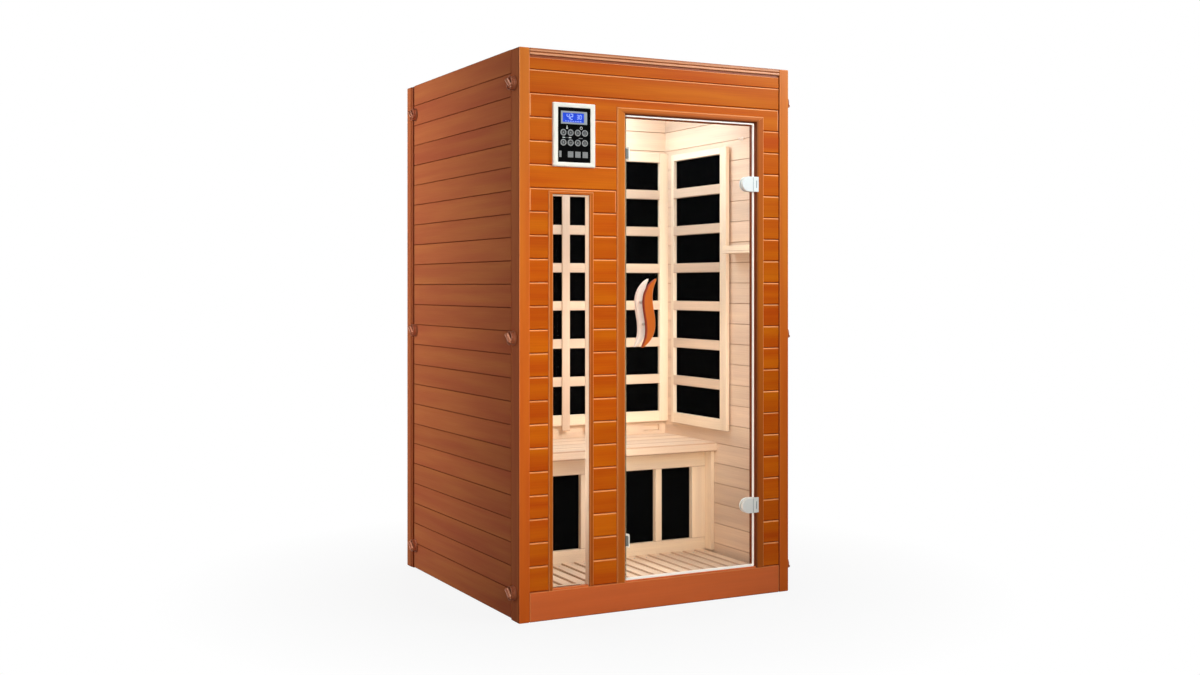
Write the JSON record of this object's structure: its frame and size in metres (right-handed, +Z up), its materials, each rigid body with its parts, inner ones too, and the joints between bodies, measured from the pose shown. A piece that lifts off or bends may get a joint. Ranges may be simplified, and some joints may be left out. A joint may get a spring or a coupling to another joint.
{
  "type": "infrared sauna cabin",
  "caption": "Upright boarded infrared sauna cabin with a hinged glass door, a slim fixed window, a control panel, twist locks on its sides, wall heaters behind wooden guards and a bench.",
  "frame": {"origin": "on the ground under the middle of the cabin, on the underside of the floor panel", "axes": "+Z up, the door front faces -Y, +X to the right seen from the front"},
  "size_m": [1.1356, 1.1183, 1.9],
  "materials": {
    "stained_front": "satin orange-brown stain",
    "stained_side": "satin red-brown stain",
    "natural_wood": "bare pale softwood",
    "heater_black": "matt black",
    "clear_glass": "clear, faint green edge",
    "hinge_metal": "satin",
    "cream_rim": "pale satin rim",
    "black_face": "black",
    "blue_display": "lit blue",
    "key_grey": "grey domed cap",
    "lock_bronze": "copper brown",
    "lamp_diffuser": "opal"
  },
  "bodies": {
    "cabin": {"front_post_left": "stained_front", "front_post_right": "stained_front", "crown_moulding": "stained_front", "front_header_boards": "stained_front", "front_left_boards": "stained_front", "front_right_boards": "stained_front", "front_plinth": "stained_front", "door_frame": "stained_front", "window_frame": "stained_front", "left_wall_panel": "stained_side", "right_wall_panel": "stained_side", "back_wall_panel": "stained_side", "floor_base": "natural_wood", "floor_slats": "natural_wood", "left_wall_lining": "natural_wood", "right_wall_lining": "natural_wood", "back_wall_lining": "natural_wood", "roof_panel": "natural_wood", "back_heater_guard": "natural_wood", "right_heater_guard": "natural_wood", "left_heater_guard": "natural_wood", "bench_seat": "natural_wood", "bench_front_guard": "natural_wood", "side_shelf": "natural_wood", "back_heater_panel": "heater_black", "right_heater_panel": "heater_black", "left_heater_panel": "heater_black", "bench_heater_panel": "heater_black", "window_glass": "clear_glass", "hinge_upper_leaf": "hinge_metal", "hinge_lower_leaf": "hinge_metal", "control_frame": "cream_rim", "control_face": "black_face", "display": "blue_display", "ceiling_lamp": "lamp_diffuser"},
    "door": {"door_glass": "clear_glass", "outer_handle": "stained_front", "inner_handle": "natural_wood", "hinge_upper_clamp": "hinge_metal", "hinge_lower_clamp": "hinge_metal"},
    "key_1": {"key_1": "key_grey"},
    "key_2": {"key_2": "key_grey"},
    "key_3": {"key_3": "key_grey"},
    "key_4": {"key_4": "key_grey"},
    "key_5": {"key_5": "key_grey"},
    "key_6": {"key_6": "key_grey"},
    "key_7": {"key_7": "key_grey"},
    "key_8": {"key_8": "key_grey"},
    "lock_left_front_1": {"lock_left_front_1": "lock_bronze"},
    "lock_left_front_2": {"lock_left_front_2": "lock_bronze"},
    "lock_left_front_3": {"lock_left_front_3": "lock_bronze"},
    "lock_left_rear_1": {"lock_left_rear_1": "lock_bronze"},
    "lock_left_rear_2": {"lock_left_rear_2": "lock_bronze"},
    "lock_left_rear_3": {"lock_left_rear_3": "lock_bronze"},
    "lock_right_front_1": {"lock_right_front_1": "lock_bronze"},
    "lock_right_front_2": {"lock_right_front_2": "lock_bronze"},
    "lock_right_front_3": {"lock_right_front_3": "lock_bronze"},
    "lock_right_rear_1": {"lock_right_rear_1": "lock_bronze"},
    "lock_right_rear_2": {"lock_right_rear_2": "lock_bronze"},
    "lock_right_rear_3": {"lock_right_rear_3": "lock_bronze"}
  },
  "joints": [
    {"name": "door_hinge", "type": "hinge", "parent": "cabin", "child": "door", "pos_m": [0.3925, -0.5488, 0.9], "axis": [0, 0, 1], "range_deg": [0, 100]},
    {"name": "key_1_press", "type": "slide", "parent": "cabin", "child": "key_1", "axis": [0, 1, 0], "range_m": [0, 0.001], "stiffness_N_per_m": 800},
    {"name": "key_2_press", "type": "slide", "parent": "cabin", "child": "key_2", "axis": [0, 1, 0], "range_m": [0, 0.001], "stiffness_N_per_m": 800},
    {"name": "key_3_press", "type": "slide", "parent": "cabin", "child": "key_3", "axis": [0, 1, 0], "range_m": [0, 0.001], "stiffness_N_per_m": 800},
    {"name": "key_4_press", "type": "slide", "parent": "cabin", "child": "key_4", "axis": [0, 1, 0], "range_m": [0, 0.001], "stiffness_N_per_m": 800},
    {"name": "key_5_press", "type": "slide", "parent": "cabin", "child": "key_5", "axis": [0, 1, 0], "range_m": [0, 0.001], "stiffness_N_per_m": 800},
    {"name": "key_6_press", "type": "slide", "parent": "cabin", "child": "key_6", "axis": [0, 1, 0], "range_m": [0, 0.001], "stiffness_N_per_m": 800},
    {"name": "key_7_press", "type": "slide", "parent": "cabin", "child": "key_7", "axis": [0, 1, 0], "range_m": [0, 0.001], "stiffness_N_per_m": 800},
    {"name": "key_8_press", "type": "slide", "parent": "cabin", "child": "key_8", "axis": [0, 1, 0], "range_m": [0, 0.001], "stiffness_N_per_m": 800},
    {"name": "lock_left_front_1_turn", "type": "hinge", "parent": "cabin", "child": "lock_left_front_1", "pos_m": [-0.5375, -0.502, 1.784], "axis": [-1, 0, 0], "range_deg": [0, 90]},
    {"name": "lock_left_front_2_turn", "type": "hinge", "parent": "cabin", "child": "lock_left_front_2", "pos_m": [-0.5375, -0.502, 0.9395], "axis": [-1, 0, 0], "range_deg": [0, 90]},
    {"name": "lock_left_front_3_turn", "type": "hinge", "parent": "cabin", "child": "lock_left_front_3", "pos_m": [-0.5375, -0.502, 0.095], "axis": [-1, 0, 0], "range_deg": [0, 90]},
    {"name": "lock_left_rear_1_turn", "type": "hinge", "parent": "cabin", "child": "lock_left_rear_1", "pos_m": [-0.5375, 0.448, 1.784], "axis": [-1, 0, 0], "range_deg": [0, 90]},
    {"name": "lock_left_rear_2_turn", "type": "hinge", "parent": "cabin", "child": "lock_left_rear_2", "pos_m": [-0.5375, 0.448, 0.9395], "axis": [-1, 0, 0], "range_deg": [0, 90]},
    {"name": "lock_left_rear_3_turn", "type": "hinge", "parent": "cabin", "child": "lock_left_rear_3", "pos_m": [-0.5375, 0.448, 0.095], "axis": [-1, 0, 0], "range_deg": [0, 90]},
    {"name": "lock_right_front_1_turn", "type": "hinge", "parent": "cabin", "child": "lock_right_front_1", "pos_m": [0.5375, -0.502, 1.784], "axis": [1, 0, 0], "range_deg": [0, 90]},
    {"name": "lock_right_front_2_turn", "type": "hinge", "parent": "cabin", "child": "lock_right_front_2", "pos_m": [0.5375, -0.502, 0.9395], "axis": [1, 0, 0], "range_deg": [0, 90]},
    {"name": "lock_right_front_3_turn", "type": "hinge", "parent": "cabin", "child": "lock_right_front_3", "pos_m": [0.5375, -0.502, 0.095], "axis": [1, 0, 0], "range_deg": [0, 90]},
    {"name": "lock_right_rear_1_turn", "type": "hinge", "parent": "cabin", "child": "lock_right_rear_1", "pos_m": [0.5375, 0.448, 1.784], "axis": [1, 0, 0], "range_deg": [0, 90]},
    {"name": "lock_right_rear_2_turn", "type": "hinge", "parent": "cabin", "child": "lock_right_rear_2", "pos_m": [0.5375, 0.448, 0.9395], "axis": [1, 0, 0], "range_deg": [0, 90]},
    {"name": "lock_right_rear_3_turn", "type": "hinge", "parent": "cabin", "child": "lock_right_rear_3", "pos_m": [0.5375, 0.448, 0.095], "axis": [1, 0, 0], "range_deg": [0, 90]}
  ]
}
